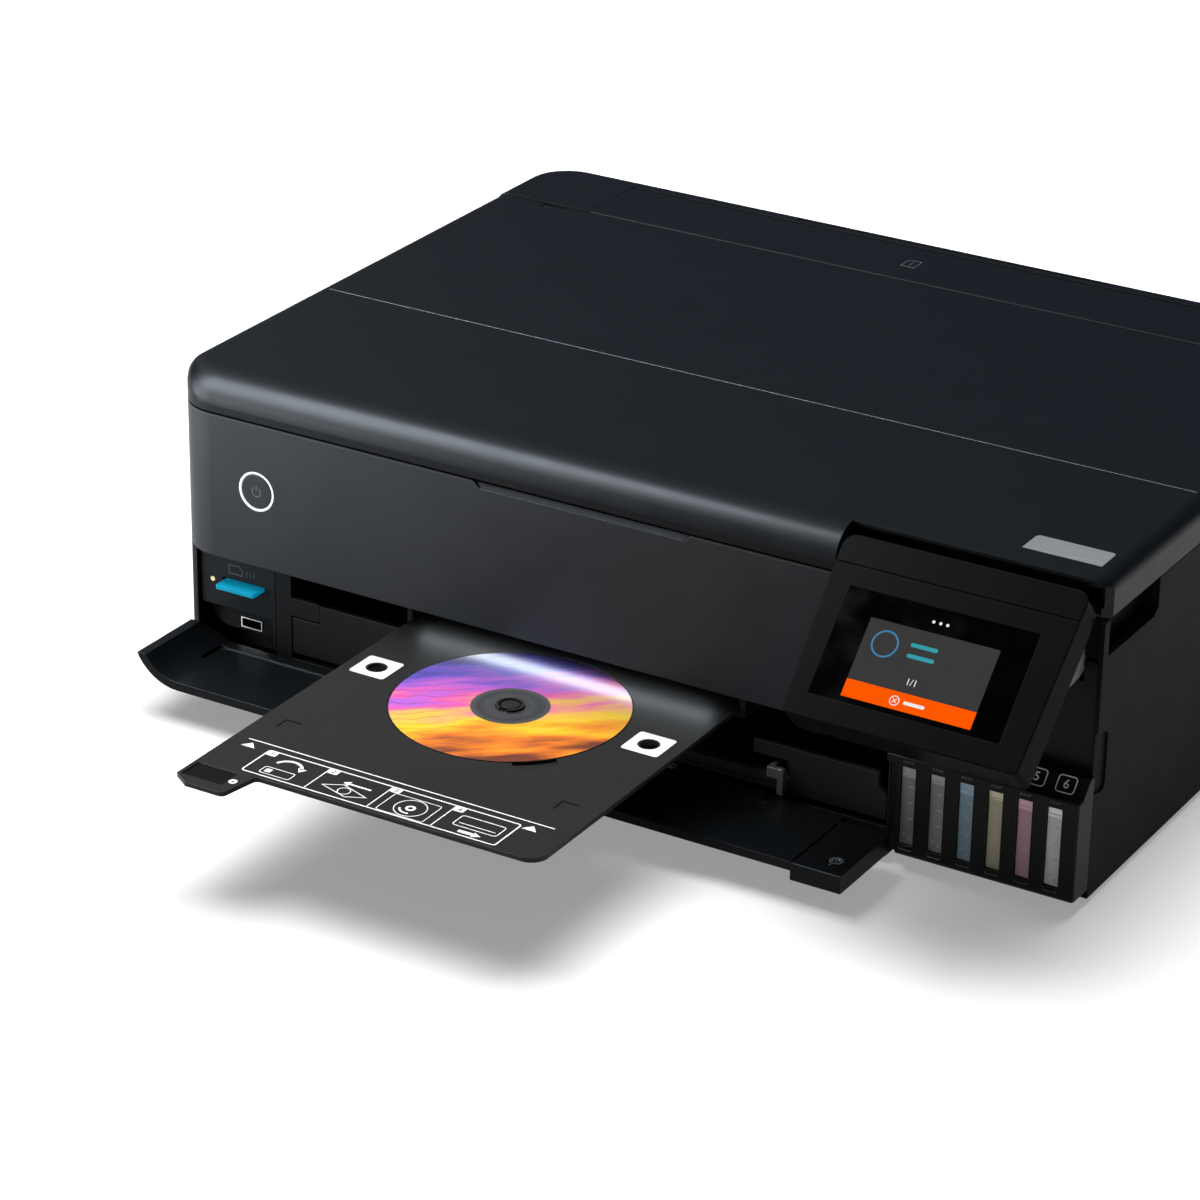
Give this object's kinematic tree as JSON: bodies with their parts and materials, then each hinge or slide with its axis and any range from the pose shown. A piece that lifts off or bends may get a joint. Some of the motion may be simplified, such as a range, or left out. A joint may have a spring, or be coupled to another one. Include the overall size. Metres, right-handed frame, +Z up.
{
  "type": "disc label printer",
  "caption": "Wide photo printer with a scanner lid, tilting touch panel, refillable ink tanks, paper cassettes and a disc tray that holds a printable disc.",
  "frame": {"origin": "middle of the body's footprint, on the surface that the feet stand on", "axes": "+X to the right as seen from the front, +Y to the back, +Z up"},
  "size_m": [0.523, 0.5795, 0.169],
  "materials": {
    "base_pan": "fine texture",
    "feet": "matte",
    "left_panel": "fine texture",
    "right_panel": "fine texture",
    "rear_panel": "fine texture",
    "rear_deck": "satin",
    "front_fascia": "fine texture",
    "power_light_ring": "clear",
    "card_panel": "fine texture",
    "card_light": "clear",
    "usb_socket": "plated",
    "reader_board": "solder resist",
    "slot_frame": "fine texture",
    "disc_guides": "satin",
    "tank_housing": "fine texture",
    "ink_tanks": "clear moulding",
    "filler_caps": "matte",
    "tank_cover": "fine texture",
    "top_hinge_pins": "ground",
    "hopper": "satin",
    "chassis": "zinc plated",
    "platen": "satin",
    "carriage_belt": "matte",
    "carriage_motor": "plated",
    "capping_station": "satin",
    "maintenance_box": "satin",
    "power_supply": "fine texture",
    "power_inlet": "satin",
    "rear_ports": "plated",
    "main_board": "solder resist",
    "ink_tube_ribbon": "clear",
    "rear_cover": "fine texture",
    "rear_feed_cover": "satin",
    "paper_support": "satin",
    "rear_guide": "satin",
    "power_button": "satin",
    "memory_card": "satin",
    "disc_tray": "fine texture",
    "disc": "printed coat",
    "main_cassette": "fine texture",
    "photo_cassette": "fine texture",
    "paper_guide": "satin",
    "output_tray": "fine texture",
    "front_door": "satin",
    "door_end_block": "satin",
    "control_panel": "satin",
    "panel_back": "satin",
    "panel_glass": "polished",
    "scanner_bed": "fine texture",
    "scanner_glass": "polished",
    "lid_cover": "satin",
    "lid_pad": "foam sheet",
    "scan_bar": "satin",
    "feed_roller": "grit coat",
    "exit_roller": "matte",
    "pinch_rollers": "matte",
    "carriage": "satin",
    "print_head": "satin",
    "drive_pulley": "satin",
    "idler_pulley": "satin"
  },
  "bodies": {
    "case": {"base_pan": "base_pan", "feet": "feet", "left_panel": "left_panel", "right_panel": "right_panel", "rear_panel": "rear_panel", "rear_deck": "rear_deck", "front_fascia": "front_fascia", "power_light_ring": "power_light_ring", "card_panel": "card_panel", "card_light": "card_light", "usb_socket": "usb_socket", "reader_board": "reader_board", "slot_frame": "slot_frame", "disc_guides": "disc_guides", "tank_housing": "tank_housing", "ink_tanks": "ink_tanks", "filler_caps": "filler_caps", "tank_cover": "tank_cover", "top_hinge_pins": "top_hinge_pins", "hopper": "hopper", "chassis": "chassis", "platen": "platen", "carriage_belt": "carriage_belt", "carriage_motor": "carriage_motor", "capping_station": "capping_station", "maintenance_box": "maintenance_box", "power_supply": "power_supply", "power_inlet": "power_inlet", "rear_ports": "rear_ports", "main_board": "main_board", "ink_tube_ribbon": "ink_tube_ribbon"},
    "rear_cover": {"rear_cover": "rear_cover"},
    "feed_cover": {"rear_feed_cover": "rear_feed_cover"},
    "paper_support": {"paper_support": "paper_support"},
    "rear_guide": {"rear_guide": "rear_guide"},
    "power_button": {"power_button": "power_button"},
    "memory_card": {"memory_card": "memory_card"},
    "disc_tray": {"disc_tray": "disc_tray"},
    "disc": {"disc": "disc"},
    "main_cassette": {"main_cassette": "main_cassette"},
    "photo_cassette": {"photo_cassette": "photo_cassette"},
    "paper_guide": {"paper_guide": "paper_guide"},
    "output_tray": {"output_tray": "output_tray"},
    "front_door": {"front_door": "front_door", "door_end_block": "door_end_block"},
    "control_panel": {"control_panel": "control_panel", "panel_back": "panel_back", "panel_glass": "panel_glass"},
    "scanner_unit": {"scanner_bed": "scanner_bed", "scanner_glass": "scanner_glass"},
    "lid": {"lid_cover": "lid_cover", "lid_pad": "lid_pad"},
    "scan_bar": {"scan_bar": "scan_bar"},
    "feed_roller": {"feed_roller": "feed_roller"},
    "exit_roller": {"exit_roller": "exit_roller"},
    "pinch_rollers": {"pinch_rollers": "pinch_rollers"},
    "carriage": {"carriage": "carriage", "print_head": "print_head"},
    "drive_pulley": {"drive_pulley": "drive_pulley"},
    "idler_pulley": {"idler_pulley": "idler_pulley"}
  },
  "joints": [
    {"name": "scanner_lift", "type": "hinge", "parent": "case", "child": "scanner_unit", "pos_m": [0, 0.1242, 0.1655], "axis": [-1, 0, 0], "range_deg": [0, 28]},
    {"name": "lid_open", "type": "hinge", "parent": "scanner_unit", "child": "lid", "pos_m": [0, 0.1242, 0.1655], "axis": [-1, 0, 0], "range_deg": [0, 70]},
    {"name": "scan_bar_travel", "type": "slide", "parent": "scanner_unit", "child": "scan_bar", "axis": [1, 0, 0], "range_m": [0, 0.26]},
    {"name": "feed_cover_open", "type": "hinge", "parent": "case", "child": "feed_cover", "pos_m": [0, 0.1734, 0.166], "axis": [-1, 0, 0], "range_deg": [0, 85]},
    {"name": "support_pull", "type": "slide", "parent": "case", "child": "paper_support", "axis": [0, 0, 1], "range_m": [0, 0.1]},
    {"name": "rear_guide_travel", "type": "slide", "parent": "case", "child": "rear_guide", "axis": [1, 0, 0], "range_m": [0, 0.12]},
    {"name": "rear_cover_pull", "type": "slide", "parent": "case", "child": "rear_cover", "axis": [0, 1, 0], "range_m": [0, 0.04]},
    {"name": "power_press", "type": "slide", "parent": "case", "child": "power_button", "axis": [0, 1, 0], "range_m": [0, 0.0012], "stiffness_N_per_m": 200, "springref_m": -0.0005},
    {"name": "memory_card_pull", "type": "slide", "parent": "case", "child": "memory_card", "axis": [0, -1, 0], "range_m": [0, 0.024]},
    {"name": "disc_tray_travel", "type": "slide", "parent": "case", "child": "disc_tray", "axis": [0, -1, 0], "range_m": [-0.185, 0.085]},
    {"name": "disc_lift", "type": "slide", "parent": "disc_tray", "child": "disc", "axis": [0, 0, 1], "range_m": [0, 0.005]},
    {"name": "main_cassette_pull", "type": "slide", "parent": "case", "child": "main_cassette", "axis": [0, -1, 0], "range_m": [0, 0.2]},
    {"name": "photo_cassette_pull", "type": "slide", "parent": "main_cassette", "child": "photo_cassette", "axis": [0, -1, 0], "range_m": [0, 0.15]},
    {"name": "paper_guide_travel", "type": "slide", "parent": "photo_cassette", "child": "paper_guide", "axis": [-1, 0, 0], "range_m": [0, 0.06]},
    {"name": "output_tray_pull", "type": "slide", "parent": "case", "child": "output_tray", "axis": [0, -1, 0], "range_m": [0, 0.1]},
    {"name": "door_fold", "type": "hinge", "parent": "case", "child": "front_door", "pos_m": [0, -0.1912, 0.0147], "axis": [1, 0, 0], "range_deg": [-40, 0]},
    {"name": "panel_tilt", "type": "hinge", "parent": "case", "child": "control_panel", "pos_m": [0, -0.1807, 0.1571], "axis": [-1, 0, 0], "range_deg": [-44.6, 0]},
    {"name": "feed_roller_spin", "type": "hinge", "parent": "case", "child": "feed_roller", "pos_m": [0, 0.03, 0.0478], "axis": [1, 0, 0], "continuous": true},
    {"name": "exit_roller_spin", "type": "hinge", "parent": "case", "child": "exit_roller", "pos_m": [0, -0.054, 0.0508], "axis": [1, 0, 0], "continuous": true},
    {"name": "pinch_roller_spin", "type": "hinge", "parent": "case", "child": "pinch_rollers", "pos_m": [0, 0.03, 0.0659], "axis": [1, 0, 0], "continuous": true},
    {"name": "carriage_travel", "type": "slide", "parent": "case", "child": "carriage", "axis": [1, 0, 0], "range_m": [-0.2, 0.16]},
    {"name": "drive_pulley_spin", "type": "hinge", "parent": "case", "child": "drive_pulley", "pos_m": [-0.218, 0.024, 0.098], "axis": [0, 0, 1], "range_deg": [-2200, 2200]},
    {"name": "idler_pulley_spin", "type": "hinge", "parent": "case", "child": "idler_pulley", "pos_m": [0.228, 0.024, 0.098], "axis": [0, 0, 1], "range_deg": [-2200, 2200]}
  ],
  "couplings": [
    {"joint": "exit_roller_spin", "follows": "feed_roller_spin", "ratio": 1.6},
    {"joint": "drive_pulley_spin", "follows": "carriage_travel", "rad_per_m": 142.86},
    {"joint": "idler_pulley_spin", "follows": "carriage_travel", "rad_per_m": 142.86}
  ]
}
